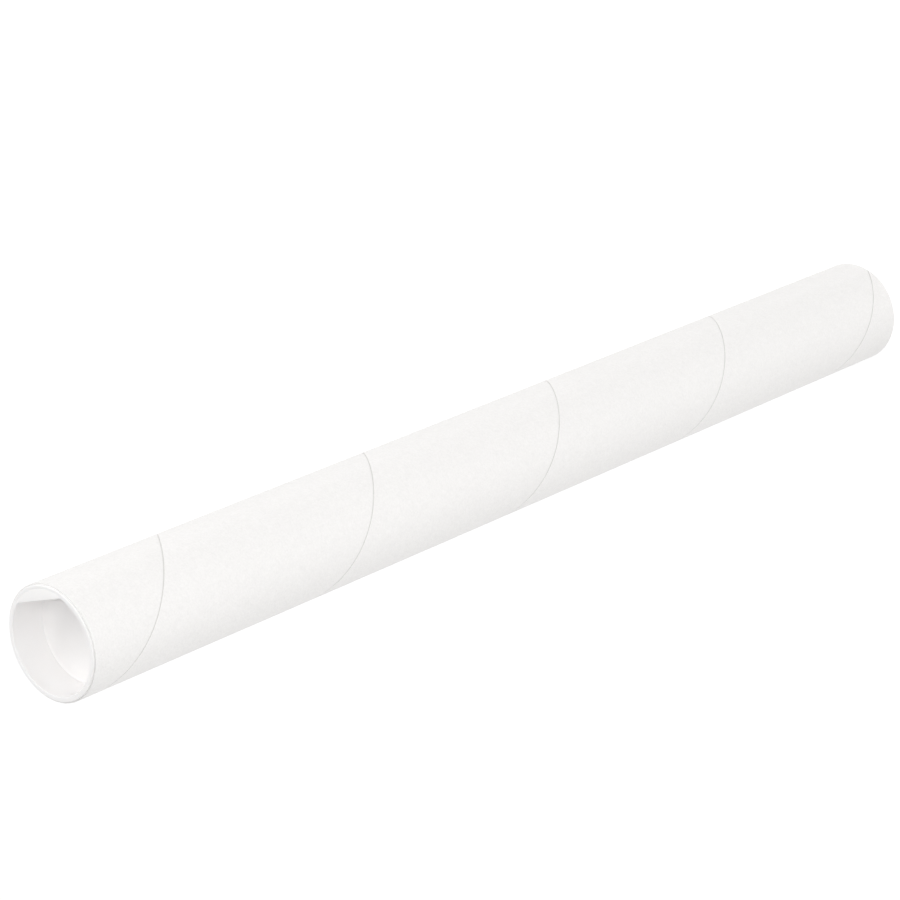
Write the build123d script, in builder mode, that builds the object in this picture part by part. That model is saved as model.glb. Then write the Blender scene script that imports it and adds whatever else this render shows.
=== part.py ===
"""Mailing tube: a spiral-wound paperboard tube closed by a push-in moulded plug at each end.

The tube stands on its end. +Z runs up the tube's axis, the origin is the centre of the bottom
plug's face, and +X is the side where the plugs have their pull tabs. Millimetres.
"""

from build123d import *

import math
import os

# Tube
bore_diameter = 50.8
wall = 2.0
tube_length = 609.6

# Seam of the tube's outer ply, a left-handed helix between two turns of the strip
seam_lead = 137.4
seam_width = 0.6
seam_depth = 0.25
seam_below_top = 74.0  # on the +X side, from the tube's top end down to the seam's first crossing

# End plug
bore_clearance = 0.15  # radial, between the tube's bore and the plug's skirt
lip_overlap = 1.2  # how far the lip covers the tube's cut end, beyond the bore
lip_thickness = 0.8
skirt_length = 18.4
skirt_taper = 0.3  # radial, from the lip to the skirt's inner end
plug_wall = 0.95
floor_thickness = 1.5
tab_width = 4.8  # from the recess wall to the tab's straight edge
tab_relief = 0.3  # how far the floor's slot reaches past the tab's straight edge

# Broken edges of the plug
lip_edge_chamfer = 0.3
mouth_edge_chamfer = 0.4
recess_corner_chamfer = 0.5
skirt_lead_in = 0.5
tab_edge_radius = 0.3

# Sizes that follow
bore_radius = bore_diameter / 2
tube_radius = bore_radius + wall
tube_bottom = lip_thickness
tube_top = tube_bottom + tube_length
skirt_radius = bore_radius - bore_clearance
skirt_tip_radius = skirt_radius - skirt_taper
lip_radius = bore_radius + lip_overlap
recess_radius = skirt_radius - plug_wall
recess_floor = floor_thickness - skirt_length
tab_chord = recess_radius - tab_width

# The seam is cut in whole turns that run out past both ends of the tube
seam_run_out = 2 * seam_width
turns_below = math.ceil((tube_length - seam_below_top + seam_run_out) / seam_lead)
turns_above = math.ceil((seam_below_top + seam_run_out) / seam_lead)
seam_start = tube_top - seam_below_top - turns_below * seam_lead


def build_seam_turn():
    """One turn of a strip wound around the tube, as deep as the outer ply and open to the outside."""
    with BuildPart() as turn:
        with BuildLine() as path:
            Helix(
                pitch=seam_lead,
                height=seam_lead,
                radius=tube_radius,
                center=(0, 0, seam_start),
                lefthand=True,
            )
        with BuildSketch(Plane(origin=path.line @ 0, x_dir=(1, 0, 0), z_dir=path.line % 0)):
            Rectangle(2 * seam_depth, seam_width)
        sweep(is_frenet=True)
    return turn.part


def half_section(seat):
    """The plane that holds the half sections: radius across, height above the seat up."""
    return Plane(origin=seat.origin, x_dir=seat.x_dir, z_dir=-seat.y_dir)


def build_tab(seat):
    """A segment of plate across the recess, flush with the lip and rounded along its straight edge."""
    with BuildPart() as tab:
        with BuildSketch(half_section(seat)) as profile:
            with Locations((tab_chord, 0)):
                Rectangle(tab_width + plug_wall, lip_thickness, align=Align.MIN)
            fillet(profile.vertices().sort_by(Axis.X)[:2], radius=tab_edge_radius)
        extrude(amount=recess_radius, both=True)
        with BuildSketch(seat):
            Circle(recess_radius + plug_wall / 2)
        extrude(amount=lip_thickness, mode=Mode.INTERSECT)
    return tab.part


def build_plug(seat):
    """A plug whose lip rests on the seat plane; the plane's normal points out of the tube."""
    with BuildPart() as plug:
        # Cup with an outward lip, turned from its half section: radius across, height up
        with BuildSketch(half_section(seat)) as half:
            with BuildLine():
                Polyline(
                    (0, -skirt_length),
                    (skirt_tip_radius, -skirt_length),
                    (skirt_radius, 0),
                    (lip_radius, 0),
                    (lip_radius, lip_thickness),
                    (recess_radius, lip_thickness),
                    (recess_radius, recess_floor),
                    (0, recess_floor),
                    close=True,
                )
            make_face()
            for corner, length in (
                ((skirt_tip_radius, -skirt_length), skirt_lead_in),
                ((lip_radius, lip_thickness), lip_edge_chamfer),
                ((recess_radius, lip_thickness), mouth_edge_chamfer),
                ((recess_radius, recess_floor), recess_corner_chamfer),
            ):
                chamfer(half.vertices().sort_by_distance(corner)[0], length=length)
        revolve(axis=Axis(seat.origin, seat.z_dir))

        # Slot through the floor under the tab
        slot_chord = tab_chord - tab_relief
        with BuildSketch(seat.offset(-skirt_length)):
            Circle(recess_radius)
            with Locations((slot_chord, 0)):
                Rectangle(recess_radius, 2 * recess_radius, align=(Align.MIN, Align.CENTER), mode=Mode.INTERSECT)
        extrude(amount=floor_thickness + recess_corner_chamfer, mode=Mode.SUBTRACT)

        add(build_tab(seat))
    return plug.part


# Wound tube
seam_turn = build_seam_turn()
with BuildPart() as tube:
    with BuildSketch(Plane.XY.offset(tube_bottom)):
        Circle(tube_radius)
        Circle(bore_radius, mode=Mode.SUBTRACT)
    extrude(amount=tube_length)
    for turn in range(turns_below + turns_above):
        with Locations((0, 0, turn * seam_lead)):
            add(seam_turn, mode=Mode.SUBTRACT)

# End plugs
with BuildPart() as top_plug:
    add(build_plug(Plane(origin=(0, 0, tube_top), x_dir=(1, 0, 0), z_dir=(0, 0, 1))))

with BuildPart() as bottom_plug:
    add(build_plug(Plane(origin=(0, 0, tube_bottom), x_dir=(1, 0, 0), z_dir=(0, 0, -1))))

os.makedirs("parts", exist_ok=True)

tube.part.label = "tube"
export_step(tube.part, "parts/tube.step")

top_plug.part.label = "top_plug"
export_step(top_plug.part, "parts/top_plug.step")

bottom_plug.part.label = "bottom_plug"
export_step(bottom_plug.part, "parts/bottom_plug.step")
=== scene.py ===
"""Looks of the mailing tube: the wound paper tube and its two moulded end plugs, on a white floor.

Metres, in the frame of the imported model: +Z up the tube's axis, +X towards the plugs' pull tabs.
"""

import math

import bmesh
import bpy
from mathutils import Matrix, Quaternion, Vector


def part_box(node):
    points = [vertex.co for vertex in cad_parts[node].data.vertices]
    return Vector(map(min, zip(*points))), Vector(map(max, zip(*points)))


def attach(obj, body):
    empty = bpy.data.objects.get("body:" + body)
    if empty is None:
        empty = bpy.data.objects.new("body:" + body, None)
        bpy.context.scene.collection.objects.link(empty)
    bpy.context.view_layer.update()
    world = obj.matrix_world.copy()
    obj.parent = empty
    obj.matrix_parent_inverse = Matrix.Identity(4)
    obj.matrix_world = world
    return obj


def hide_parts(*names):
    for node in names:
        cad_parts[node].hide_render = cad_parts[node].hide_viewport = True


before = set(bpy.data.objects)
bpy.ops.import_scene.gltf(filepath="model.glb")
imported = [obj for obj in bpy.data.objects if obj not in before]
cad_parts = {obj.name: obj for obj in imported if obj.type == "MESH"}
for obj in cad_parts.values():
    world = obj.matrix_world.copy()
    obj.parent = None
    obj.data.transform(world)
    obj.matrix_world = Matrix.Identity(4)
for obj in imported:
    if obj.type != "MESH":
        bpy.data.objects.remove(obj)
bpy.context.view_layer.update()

TURN = 2 * math.pi

# Tube, from the frame
tube_low, tube_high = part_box("tube")
TUBE_RADIUS = (tube_high.x - tube_low.x) / 2
TUBE_BOTTOM = tube_low.z
TUBE_TOP = tube_high.z

# Tube wall and its plies
WALL = 0.002
BORE_RADIUS = TUBE_RADIUS - WALL
PLY_COUNT = 7
PLY = WALL / PLY_COUNT
PLY_NOTCH_DEPTH = 0.00003
PLY_NOTCH_HALF_WIDTH = PLY / 5
CUT_EDGE_ROUND = 0.00025
BORE_EDGE_ROUND = 0.0001

# Seam of the outer ply: a left-handed helix, with a groove between two turns of the strip
SEAM_LEAD = 0.1374
SEAM_WIDTH = 0.0006
SEAM_DEPTH = 0.00025
SEAM_BELOW_TOP = 0.074
SEAM_SLOPE = math.atan2(SEAM_LEAD, TURN * TUBE_RADIUS)
# Half of the groove's section: distance from its middle in half widths, and share of its depth
GROOVE_PROFILE = ((0.73, 1.0), (0.90, 0.85), (1.00, 0.20), (1.20, 0.03), (1.40, 0.0))
# Bands of that half section, counted from its middle, that show the under ply; their grey is partly the
# board's own and partly painted shade in the groove
UNDER_PLY_SHADE_BANDS = 3

# Plug, from the frame: heights are measured out of the tube from the seat on its cut end
plug_low, plug_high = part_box("top_plug")
LIP_RADIUS = (plug_high.x - plug_low.x) / 2
LIP_THICKNESS = plug_high.z - TUBE_TOP
SKIRT_LENGTH = TUBE_TOP - plug_low.z

# Plug moulding
BORE_CLEARANCE = 0.00015
SKIRT_TAPER = 0.0003
PLUG_WALL = 0.00095
FLOOR_THICKNESS = 0.0015
TAB_WIDTH = 0.0048
TAB_RELIEF = 0.0003
SKIRT_RADIUS = BORE_RADIUS - BORE_CLEARANCE
SKIRT_TIP_RADIUS = SKIRT_RADIUS - SKIRT_TAPER
RECESS_RADIUS = SKIRT_RADIUS - PLUG_WALL
RECESS_FLOOR = FLOOR_THICKNESS - SKIRT_LENGTH
TAB_CHORD = RECESS_RADIUS - TAB_WIDTH
SLOT_CHORD = TAB_CHORD - TAB_RELIEF
LIP_EDGE_ROUND = 0.00045
MOUTH_EDGE_ROUND = 0.00035
RECESS_CORNER_ROUND = 0.0004
RECESS_WALL_FOOT = RECESS_FLOOR + RECESS_CORNER_ROUND
SKIRT_LEAD_IN = 0.0005
# Fine moulded line between the lip ring and the tab
TAB_LINE_RADIUS = 0.0250
TAB_LINE_WIDTH = 0.0003
TAB_LINE_DEPTH = 0.00008

# Mesh density
TUBE_COLUMNS = 384
STRIP_ROWS = 8
BORE_ROWS = 24
PLUG_COLUMNS = 320
SKIRT_ROWS = 4
RECESS_WALL_ROWS = 4
RECESS_FLOOR_RINGS = (0.0, 0.004, 0.009, 0.014, 0.018)
ROUND_STEPS = 6
MERGE_DISTANCE = 1e-6
SHARP_ANGLE = math.radians(32)

# Materials of the tube's mesh and of a plug's mesh, in the order of their slots
# The seam gap's slot holds the grey under ply, darkened partly as painted shade in the groove
OUTER_PLY, SEAM_GAP_SHADE, CUT_END, LINER = range(4)
MOULDED, SCUFFED = range(2)

# A noise texture's values lie mostly between these two
NOISE_LOW = 0.3
NOISE_HIGH = 0.7
# Bare board, in the seam and on the cut ends
BOARD_ROUGHNESS = 0.9
# Factors on x, y and z: without height, and with scuffs drawn out along the axis
FLATTENED = (1, 1, 0)
DRAWN_OUT = (1, 1, 0.06)

# Camera: the photograph's viewing angle, for a square image
CAMERA_AIM = Vector((0.01267, 0.00231, 0.33906))
CAMERA_DISTANCE = 1.66829
CAMERA_AZIMUTH = math.radians(10.356)
CAMERA_ELEVATION = math.radians(45.246)
CAMERA_ROLL = math.radians(-112.061)
CAMERA_LENS = 136.440
CAMERA_SENSOR = 36.0

# Studio
FLOOR_SIZE = 40.0
FLOOR_GLOW = 0.75
SKY_STRENGTH = 0.383
LIGHT_TARGET = Vector((0, 0, 0.31))
LIGHT_DISTANCE = 3.9
# Soft lights aimed at the target: azimuth and elevation in degrees, width in metres, power in watts
LIGHTS = {
    "camera_side": (10, 50, 2.4, 38.3),
    "overhead": (90, 74, 1.05, 12.2),
    "tab_side": (60, 28, 1.8, 16.2),
    "front": (0, 24, 1.2, 13.3),
    "low_left": (-45, 9, 1.5, 13.5),
    "behind": (125, 38, 2.1, 47.3),
    "rear_left": (-135, 14, 1.5, 21.8),
}


# Meshes

def arc(centre, radius, start, end):
    """Points of an arc in a half section, from one angle to another, both in degrees."""
    points = []
    for step in range(ROUND_STEPS + 1):
        angle = math.radians(start + (end - start) * step / ROUND_STEPS)
        points.append((centre[0] + radius * math.cos(angle), centre[1] + radius * math.sin(angle)))
    return points


def around(radius, angle, height):
    """A point at this radius, angle and height around the axis."""
    return (radius * math.cos(angle), radius * math.sin(angle), height)


def skin(bm, columns, row_materials=None):
    """Faces between neighbouring columns of points; a column has a point in every row."""
    grid = [[bm.verts.new(point) for point in column] for column in columns]
    for left, right in zip(grid, grid[1:]):
        for row in range(len(left) - 1):
            face = bm.faces.new((left[row], right[row], right[row + 1], left[row + 1]))
            face.smooth = True
            if row_materials:
                face.material_index = row_materials[row]


def finish_mesh(bm, name, materials):
    """Welds the skins into one closed mesh with creased edges, and links it to the scene."""
    bmesh.ops.remove_doubles(bm, verts=bm.verts, dist=MERGE_DISTANCE)
    bmesh.ops.dissolve_degenerate(bm, edges=bm.edges, dist=MERGE_DISTANCE)
    bmesh.ops.recalc_face_normals(bm, faces=bm.faces)
    mesh = bpy.data.meshes.new(name)
    bm.to_mesh(mesh)
    bm.free()
    for material in materials:
        mesh.materials.append(material)
    mesh.set_sharp_from_angle(angle=SHARP_ANGLE)
    piece = bpy.data.objects.new(name, mesh)
    bpy.context.scene.collection.objects.link(piece)
    return piece


# Wound tube

def seam_height(angle):
    """Height of the seam at this angle, on the turn that starts at +X and SEAM_BELOW_TOP under the top."""
    return TUBE_TOP - SEAM_BELOW_TOP - SEAM_LEAD * angle / TURN


def groove_depth(angle, height):
    """How far the outside is sunk below the tube's radius by the seam's groove."""
    above = (height - seam_height(angle) + SEAM_LEAD / 2) % SEAM_LEAD - SEAM_LEAD / 2
    offset = abs(above) * math.cos(SEAM_SLOPE) / (SEAM_WIDTH / 2)
    before = (0.0, 1.0)
    for knot in GROOVE_PROFILE:
        if offset <= knot[0]:
            share = (offset - before[0]) / (knot[0] - before[0])
            return SEAM_DEPTH * (before[1] + share * (knot[1] - before[1]))
        before = knot
    return 0.0


def strip_rows():
    """Heights from the middle of a seam up to the middle of the next, and each band's material."""
    rise = SEAM_WIDTH / 2 / math.cos(SEAM_SLOPE)
    edge = [rise * knot[0] for knot in GROOVE_PROFILE]
    clear = SEAM_LEAD - 2 * edge[-1]
    plain = [edge[-1] + clear * row / STRIP_ROWS for row in range(1, STRIP_ROWS)]
    heights = [0.0] + edge + plain + [SEAM_LEAD - height for height in reversed(edge)]
    # The seam's middle bands take the under ply's grey, which is partly painted shade in the groove
    gap = [SEAM_GAP_SHADE] * UNDER_PLY_SHADE_BANDS
    bands = gap + [OUTER_PLY] * (len(heights) - 2 * UNDER_PLY_SHADE_BANDS) + gap
    return heights, bands


def cut_end_points():
    """Half section of a cut end from the outside in: distance in from the outside, and below the end."""
    points = [
        (CUT_EDGE_ROUND + x, CUT_EDGE_ROUND - y)
        for x, y in arc((0, 0), CUT_EDGE_ROUND, 180, 90)
    ]
    # A notch after the first ply would run into the rounded edge, so they start after the second
    for number in range(2, PLY_COUNT):
        between = number * PLY
        points.append((between - PLY_NOTCH_HALF_WIDTH, 0))
        points.append((between, PLY_NOTCH_DEPTH))
        points.append((between + PLY_NOTCH_HALF_WIDTH, 0))
    points += [
        (WALL - BORE_EDGE_ROUND + x, BORE_EDGE_ROUND - y)
        for x, y in arc((0, 0), BORE_EDGE_ROUND, 90, 0)
    ]
    return points


def cut_end_column(angle, end, inward):
    """Points over one cut end from the outside in; inward is +1 or -1, from the end into the tube."""
    column = []
    sunk = groove_depth(angle, end)
    for across, below in cut_end_points():
        height = end + inward * below
        outside = TUBE_RADIUS - groove_depth(angle, height)
        if below == 0:
            outside = TUBE_RADIUS - sunk - CUT_EDGE_ROUND
        radius = min(TUBE_RADIUS - across, outside)
        column.append(around(radius, angle, height))
    return column


def make_tube(materials):
    """The tube: outside with the seam's groove, two cut ends and the bore."""
    heights, bands = strip_rows()
    lowest = TUBE_BOTTOM + CUT_EDGE_ROUND
    highest = TUBE_TOP - CUT_EDGE_ROUND
    turns_below = math.ceil((TUBE_TOP - TUBE_BOTTOM - SEAM_BELOW_TOP) / SEAM_LEAD)
    # The seam falls by one lead on its way round, so there is one more turn above
    turns_above = math.ceil(SEAM_BELOW_TOP / SEAM_LEAD) + 1
    bore_low = TUBE_BOTTOM + BORE_EDGE_ROUND
    bore_step = (TUBE_TOP - TUBE_BOTTOM - 2 * BORE_EDGE_ROUND) / BORE_ROWS
    bore_heights = [bore_low + row * bore_step for row in range(BORE_ROWS + 1)]

    bm = bmesh.new()
    outside, upper_end, lower_end, bore = [], [], [], []
    for number in range(TUBE_COLUMNS + 1):
        angle = TURN * number / TUBE_COLUMNS
        column = []
        for turn in range(-turns_below, turns_above):
            for rise in heights:
                height = seam_height(angle) + turn * SEAM_LEAD + rise
                height = min(max(height, lowest), highest)
                radius = TUBE_RADIUS - groove_depth(angle, height)
                column.append(around(radius, angle, height))
        outside.append(column)
        upper_end.append(cut_end_column(angle, TUBE_TOP, -1))
        lower_end.append(cut_end_column(angle, TUBE_BOTTOM, 1))
        bore.append([around(BORE_RADIUS, angle, height) for height in bore_heights])

    end_bands = [OUTER_PLY] * ROUND_STEPS + [CUT_END] * (len(upper_end[0]) - 1 - ROUND_STEPS)
    skin(bm, outside, bands * (turns_below + turns_above))
    skin(bm, upper_end, end_bands)
    skin(bm, lower_end, end_bands)
    skin(bm, bore, [LINER] * BORE_ROWS)
    return finish_mesh(bm, "tube_shell", materials)


# End plugs

def plug_angles():
    """Angles from the tab's middle, evenly spaced but for those on the corners of tab and slot."""
    angles = [TURN * number / PLUG_COLUMNS for number in range(PLUG_COLUMNS + 1)]
    for chord in (TAB_CHORD, SLOT_CHORD):
        corner = math.acos(chord / RECESS_RADIUS)
        for target in (corner, TURN - corner):
            nearest = min(range(len(angles)), key=lambda number: abs(angles[number] - target))
            angles[nearest] = target
    return angles


def chord_radius(chord, angle):
    """Radius in this direction of a straight edge across the recess, at most the recess's own."""
    toward = math.cos(angle)
    if toward <= chord / RECESS_RADIUS:
        return RECESS_RADIUS
    return chord / toward


def floor_height(radius):
    """Height of the recess floor, which curves up into the wall."""
    into_corner = radius - (RECESS_RADIUS - RECESS_CORNER_ROUND)
    if into_corner <= 0:
        return RECESS_FLOOR
    below = RECESS_CORNER_ROUND ** 2 - min(into_corner, RECESS_CORNER_ROUND) ** 2
    return RECESS_FLOOR + RECESS_CORNER_ROUND - math.sqrt(below)


def tab_line(flat_end):
    """Half section of the line between ring and tab; beside the tab it has no depth."""
    half = TAB_LINE_WIDTH / 2
    depth = TAB_LINE_DEPTH if flat_end < RECESS_RADIUS else 0
    section = ((half, 0), (0, depth), (-half, 0))
    return [(TAB_LINE_RADIUS + across, LIP_THICKNESS - below) for across, below in section]


def tab_lower_edge(inner):
    """Rounded lower edge of the tab; beside the tab its points lie on the recess wall."""
    if inner < RECESS_RADIUS:
        return arc((inner + MOUTH_EDGE_ROUND, MOUTH_EDGE_ROUND), MOUTH_EDGE_ROUND, 180, 270)
    steps = range(ROUND_STEPS + 1)
    return [(RECESS_RADIUS, MOUTH_EDGE_ROUND * (1 - step / ROUND_STEPS)) for step in steps]


def plug_outside(angle):
    """Half section from the skirt's tip round the lip, the mouth and the tab, down the recess wall."""
    inner = chord_radius(TAB_CHORD, angle)
    mouth = inner + MOUTH_EDGE_ROUND
    side = math.degrees(math.atan2(SKIRT_LENGTH, SKIRT_TAPER)) - 90
    tip = (SKIRT_TIP_RADIUS - SKIRT_LEAD_IN, -SKIRT_LENGTH + SKIRT_LEAD_IN)
    points = [(RECESS_RADIUS, -SKIRT_LENGTH)]
    points += arc(tip, SKIRT_LEAD_IN, -90, side)
    for row in range(SKIRT_ROWS):
        share = 1 - (row + 1) / SKIRT_ROWS
        points.append((SKIRT_RADIUS - SKIRT_TAPER * share, -SKIRT_LENGTH * share))
    points.append((LIP_RADIUS, 0.0))
    points += arc((LIP_RADIUS - LIP_EDGE_ROUND, LIP_THICKNESS - LIP_EDGE_ROUND), LIP_EDGE_ROUND, 0, 90)
    points += tab_line(mouth)
    points += arc((mouth, LIP_THICKNESS - MOUTH_EDGE_ROUND), MOUTH_EDGE_ROUND, 90, 180)
    points += tab_lower_edge(inner)
    for row in range(RECESS_WALL_ROWS + 1):
        points.append((RECESS_RADIUS, RECESS_WALL_FOOT * row / RECESS_WALL_ROWS))
    return points


def outside_bands(rows):
    """Material of each band of the outside section: the skirt is scuffed from its tip up to the lip."""
    skirt_top = ROUND_STEPS + 1 + SKIRT_ROWS
    return [SCUFFED if 0 < row < skirt_top else MOULDED for row in range(rows - 1)]


def make_plug(name, seat, outward, materials):
    """A plug whose lip rests on the seat height; outward is +1 at the top end and -1 at the bottom."""
    corner = arc((RECESS_RADIUS - RECESS_CORNER_ROUND, 0), RECESS_CORNER_ROUND, -90, 0)
    floor_radii = list(RECESS_FLOOR_RINGS) + [radius for radius, _ in corner]
    angles = plug_angles()
    wall_points = [(RECESS_RADIUS, RECESS_WALL_FOOT), (RECESS_RADIUS, -SKIRT_LENGTH)]

    def placed(points, angle):
        return [around(radius, angle, seat + outward * height) for radius, height in points]

    bm = bmesh.new()
    shell, floor, underside, slot_edge, slot_wall = [], [], [], [], []
    for angle in angles:
        slot_radius = chord_radius(SLOT_CHORD, angle)
        clipped = [min(radius, slot_radius) for radius in floor_radii]
        shell.append(placed(plug_outside(angle), angle))
        floor.append(placed([(radius, floor_height(radius)) for radius in clipped], angle))
        underside.append(placed([(radius, -SKIRT_LENGTH) for radius in clipped], angle))
        edge_points = [(slot_radius, floor_height(slot_radius)), (slot_radius, -SKIRT_LENGTH)]
        slot_edge.append(placed(edge_points, angle))
        slot_wall.append(placed(wall_points, angle))

    skin(bm, shell, outside_bands(len(shell[0])))
    skin(bm, floor)
    skin(bm, underside)
    in_slot = [chord_radius(SLOT_CHORD, angle) < RECESS_RADIUS for angle in angles]
    for number in range(len(in_slot) - 1):
        if in_slot[number] or in_slot[number + 1]:
            skin(bm, slot_edge[number:number + 2])
            skin(bm, slot_wall[number:number + 2])
    return finish_mesh(bm, name, materials)


# Materials

def new_material(name):
    """A node material with only its shader, and the shader."""
    material = bpy.data.materials.new(name)
    material.use_nodes = True
    return material, material.node_tree.nodes["Principled BSDF"]


def add_node(tree, kind, inputs=None, **settings):
    """A node with values on its named input sockets and with its own settings."""
    node = tree.nodes.new(kind)
    for socket, value in (inputs or {}).items():
        node.inputs[socket].default_value = value
    for setting, value in settings.items():
        setattr(node, setting, value)
    return node


def object_coordinates(tree):
    """Places on the object itself, so that the pattern moves with it."""
    return add_node(tree, "ShaderNodeTexCoord").outputs["Object"]


def noise(tree, coordinates, size, detail, roughness):
    """Noise whose largest blotches are about this size in metres."""
    values = {"Scale": 1 / size, "Detail": detail, "Roughness": roughness}
    node = add_node(tree, "ShaderNodeTexNoise", inputs=values)
    tree.links.new(coordinates, node.inputs["Vector"])
    return node.outputs["Fac"]


def scaled(tree, coordinates, factors):
    """Coordinates times a factor along each axis."""
    node = add_node(tree, "ShaderNodeVectorMath", operation="MULTIPLY")
    node.inputs[1].default_value = factors
    tree.links.new(coordinates, node.inputs[0])
    return node.outputs["Vector"]


def math_node(tree, operation, *values):
    """One arithmetic step; each value is a socket or a plain number."""
    node = add_node(tree, "ShaderNodeMath", operation=operation)
    for socket, value in zip(node.inputs, values):
        if isinstance(value, (int, float)):
            socket.default_value = value
        else:
            tree.links.new(value, socket)
    return node.outputs["Value"]


def weighted(tree, *shares):
    """Sum of values, each times its share."""
    parts = [math_node(tree, "MULTIPLY", value, share) for value, share in shares]
    total = parts[0]
    for part in parts[1:]:
        total = math_node(tree, "ADD", total, part)
    return total


def colour(tree, shader, value, low, high):
    """Base colour from low to high as a noise value goes from NOISE_LOW to NOISE_HIGH."""
    node = add_node(tree, "ShaderNodeValToRGB")
    first, last = node.color_ramp.elements
    first.position = NOISE_LOW
    first.color = (*low, 1)
    last.position = NOISE_HIGH
    last.color = (*high, 1)
    tree.links.new(value, node.inputs["Fac"])
    tree.links.new(node.outputs["Color"], shader.inputs["Base Color"])


def roughness_range(tree, shader, value, low, high):
    """Roughness from low to high as a noise value goes from NOISE_LOW to NOISE_HIGH."""
    values = {"From Min": NOISE_LOW, "From Max": NOISE_HIGH, "To Min": low, "To Max": high}
    node = add_node(tree, "ShaderNodeMapRange", inputs=values)
    tree.links.new(value, node.inputs["Value"])
    tree.links.new(node.outputs["Result"], shader.inputs["Roughness"])


def bump(tree, shader, height, distance, strength):
    """Shaded relief from a height pattern; distance is the metres that one unit of it stands for."""
    node = add_node(tree, "ShaderNodeBump", inputs={"Strength": strength, "Distance": distance})
    tree.links.new(height, node.inputs["Height"])
    tree.links.new(node.outputs["Normal"], shader.inputs["Normal"])


def paper_material():
    """White outer ply: matt paper with a cloudy formation, soft flocks and a fine fibrous grain."""
    material, shader = new_material("white_outer_ply")
    tree = material.node_tree
    place = object_coordinates(tree)
    cloud = noise(tree, place, size=0.012, detail=4, roughness=0.6)
    flock = noise(tree, place, size=0.003, detail=3, roughness=0.6)
    grain = noise(tree, place, size=0.0010, detail=3, roughness=0.7)
    mottle = weighted(tree, (cloud, 0.06), (flock, 0.24), (grain, 0.70))
    colour(tree, shader, mottle, low=(0.833, 0.822, 0.811), high=(0.918, 0.906, 0.895))
    roughness_range(tree, shader, grain, low=0.72, high=0.88)
    shader.inputs["Specular IOR Level"].default_value = 0.3
    bump(tree, shader, mottle, distance=0.0004, strength=0.6)
    return material


def under_ply_and_seam_shade_material():
    """Grey under ply at the bottom of the seam's gap: partly the board's own grey, partly painted shade of
    the groove.
    """
    material, shader = new_material("grey_under_ply_and_seam_shade")
    tree = material.node_tree
    grain = noise(tree, object_coordinates(tree), size=0.0008, detail=4, roughness=0.7)
    colour(tree, shader, grain, low=(0.69, 0.68, 0.665), high=(0.785, 0.775, 0.76))
    shader.inputs["Roughness"].default_value = BOARD_ROUGHNESS
    bump(tree, shader, grain, distance=0.00005, strength=0.4)
    return material


def cut_end_material():
    """Cut board: pale rings, one to each ply, with a little fuzz."""
    material, shader = new_material("cut_board_edge")
    tree = material.node_tree
    place = object_coordinates(tree)
    radius = add_node(tree, "ShaderNodeVectorMath", operation="LENGTH")
    tree.links.new(scaled(tree, place, FLATTENED), radius.inputs[0])
    ply_phase = math_node(tree, "MULTIPLY", radius.outputs["Value"], TURN * PLY_COUNT / WALL)
    rings = math_node(tree, "SINE", ply_phase)
    fuzz = noise(tree, place, size=0.0007, detail=5, roughness=0.7)
    layers = weighted(tree, (rings, 0.08), (fuzz, 1.0))
    colour(tree, shader, layers, low=(0.80, 0.792, 0.78), high=(0.87, 0.862, 0.85))
    shader.inputs["Roughness"].default_value = BOARD_ROUGHNESS
    bump(tree, shader, layers, distance=0.00008, strength=0.5)
    return material


def liner_material():
    """Pale grey board on the inside of the bore."""
    material, shader = new_material("grey_liner")
    tree = material.node_tree
    place = object_coordinates(tree)
    cloud = noise(tree, place, size=0.008, detail=5, roughness=0.6)
    grain = noise(tree, place, size=0.0012, detail=4, roughness=0.7)
    mottle = weighted(tree, (cloud, 0.5), (grain, 0.5))
    colour(tree, shader, mottle, low=(0.68, 0.665, 0.64), high=(0.79, 0.78, 0.76))
    roughness_range(tree, shader, grain, low=0.8, high=0.95)
    bump(tree, shader, mottle, distance=0.0001, strength=0.4)
    return material


def plastic_material():
    """Satin white polyethylene with a fine moulded grain and a slight waxy depth."""
    material, shader = new_material("white_polyethylene")
    tree = material.node_tree
    place = object_coordinates(tree)
    cloud = noise(tree, place, size=0.012, detail=3, roughness=0.5)
    grain = noise(tree, place, size=0.0006, detail=3, roughness=0.6)
    colour(tree, shader, cloud, low=(0.945, 0.932, 0.926), high=(0.960, 0.948, 0.943))
    roughness_range(tree, shader, grain, low=0.48, high=0.60)
    shader.inputs["Subsurface Weight"].default_value = 0.12
    shader.inputs["Subsurface Radius"].default_value = (0.0012, 0.0011, 0.0010)
    shader.inputs["Subsurface Scale"].default_value = 1.0
    bump(tree, shader, grain, distance=0.00002, strength=0.25)
    return material


def scuffed_material():
    """The same polyethylene where the skirt slides in the bore: dulled, with fine lines lengthwise."""
    material, shader = new_material("scuffed_polyethylene")
    tree = material.node_tree
    place = scaled(tree, object_coordinates(tree), DRAWN_OUT)
    rubs = noise(tree, place, size=0.0012, detail=4, roughness=0.6)
    colour(tree, shader, rubs, low=(0.80, 0.79, 0.78), high=(0.87, 0.86, 0.85))
    roughness_range(tree, shader, rubs, low=0.55, high=0.70)
    bump(tree, shader, rubs, distance=0.00002, strength=0.3)
    return material


def floor_material():
    """White studio floor with a trace of unevenness and a glow of its own."""
    material, shader = new_material("white_floor")
    tree = material.node_tree
    cloud = noise(tree, object_coordinates(tree), size=0.4, detail=3, roughness=0.5)
    colour(tree, shader, cloud, low=(0.345, 0.345, 0.345), high=(0.355, 0.355, 0.355))
    shader.inputs["Roughness"].default_value = 0.9
    shader.inputs["Specular IOR Level"].default_value = 0.1
    shader.inputs["Emission Color"].default_value = (1, 1, 1, 1)
    shader.inputs["Emission Strength"].default_value = FLOOR_GLOW
    return material


# Floor, lights and camera

def direction(azimuth, elevation):
    """Unit vector away from the object, angles in radians; azimuth 0 is -Y and a quarter turn is +X."""
    level = math.cos(elevation)
    return Vector((math.sin(azimuth) * level, -math.cos(azimuth) * level, math.sin(elevation)))


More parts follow.
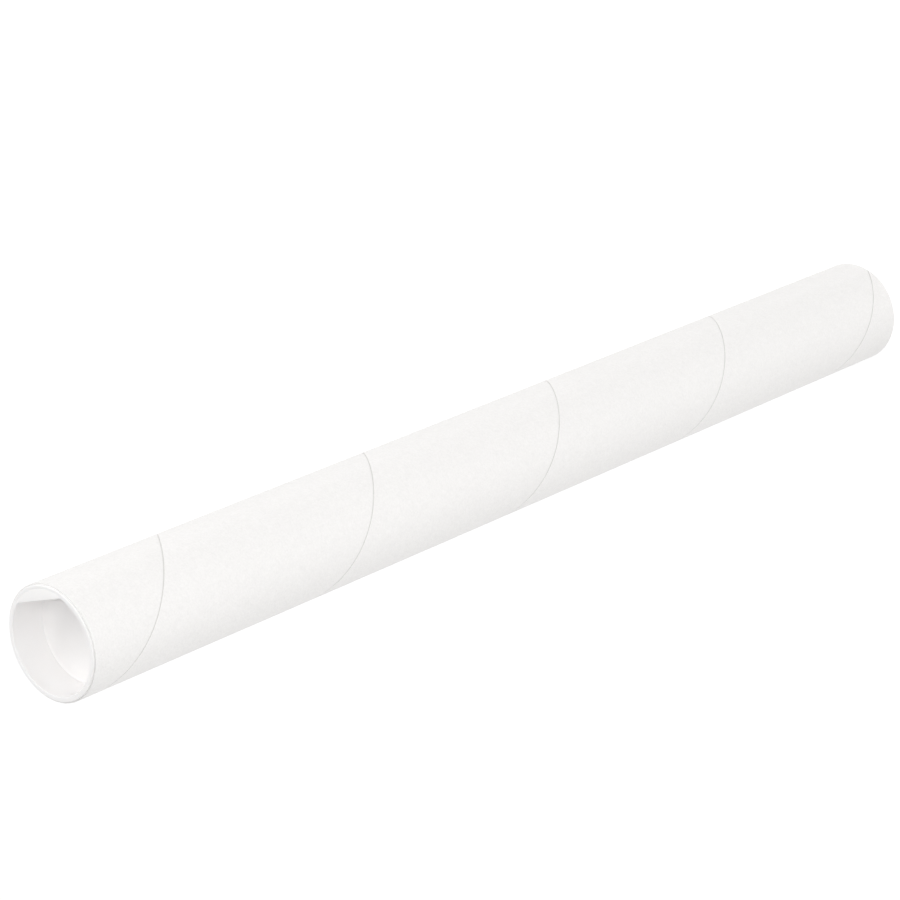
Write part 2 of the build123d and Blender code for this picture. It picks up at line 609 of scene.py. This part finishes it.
def make_floor():
    """Square floor that the tube stands on."""
    half = FLOOR_SIZE / 2
    corners = [(-half, -half, 0), (half, -half, 0), (half, half, 0), (-half, half, 0)]
    mesh = bpy.data.meshes.new("floor")
    mesh.from_pydata(corners, [], [range(len(corners))])
    mesh.materials.append(floor_material())
    floor = bpy.data.objects.new("floor", mesh)
    bpy.context.scene.collection.objects.link(floor)


def make_lights():
    """Round soft lights around the tube, and an even sky."""
    for name, (azimuth, elevation, width, power) in LIGHTS.items():
        light = bpy.data.lights.new(name, "AREA")
        light.shape = "DISK"
        light.size = width
        light.energy = power
        lamp = bpy.data.objects.new(name, light)
        away = direction(math.radians(azimuth), math.radians(elevation))
        lamp.location = LIGHT_TARGET + away * LIGHT_DISTANCE
        lamp.rotation_euler = (-away).to_track_quat("-Z", "Y").to_euler()
        bpy.context.scene.collection.objects.link(lamp)
    world = bpy.data.worlds.new("studio")
    world.use_nodes = True
    background = world.node_tree.nodes["Background"]
    background.inputs["Color"].default_value = (1, 1, 1, 1)
    background.inputs["Strength"].default_value = SKY_STRENGTH
    bpy.context.scene.world = world


def make_camera():
    """Camera at the photograph's viewing angle, rolled because the tube lies at a slant there."""
    data = bpy.data.cameras.new("camera")
    data.sensor_width = CAMERA_SENSOR
    data.lens = CAMERA_LENS
    camera = bpy.data.objects.new("camera", data)
    back = direction(CAMERA_AZIMUTH, CAMERA_ELEVATION)
    level = (-back).to_track_quat("-Z", "Y")
    camera.location = CAMERA_AIM + back * CAMERA_DISTANCE
    camera.rotation_mode = "QUATERNION"
    camera.rotation_quaternion = level @ Quaternion((0, 0, 1), CAMERA_ROLL)
    bpy.context.scene.collection.objects.link(camera)
    bpy.context.scene.camera = camera


# The tube's second material is the under ply's grey, with painted shade in the seam's groove
tube = make_tube([paper_material(), under_ply_and_seam_shade_material(), cut_end_material(), liner_material()])
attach(tube, "tube")
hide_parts("tube")

plastic = [plastic_material(), scuffed_material()]
for node, seat, outward in (("top_plug", TUBE_TOP, 1), ("bottom_plug", TUBE_BOTTOM, -1)):
    moulding = make_plug(node + "_moulding", seat, outward, plastic)
    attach(moulding, node)
    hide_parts(node)

make_floor()
make_lights()
make_camera()
bpy.context.scene.view_settings.view_transform = "Standard"
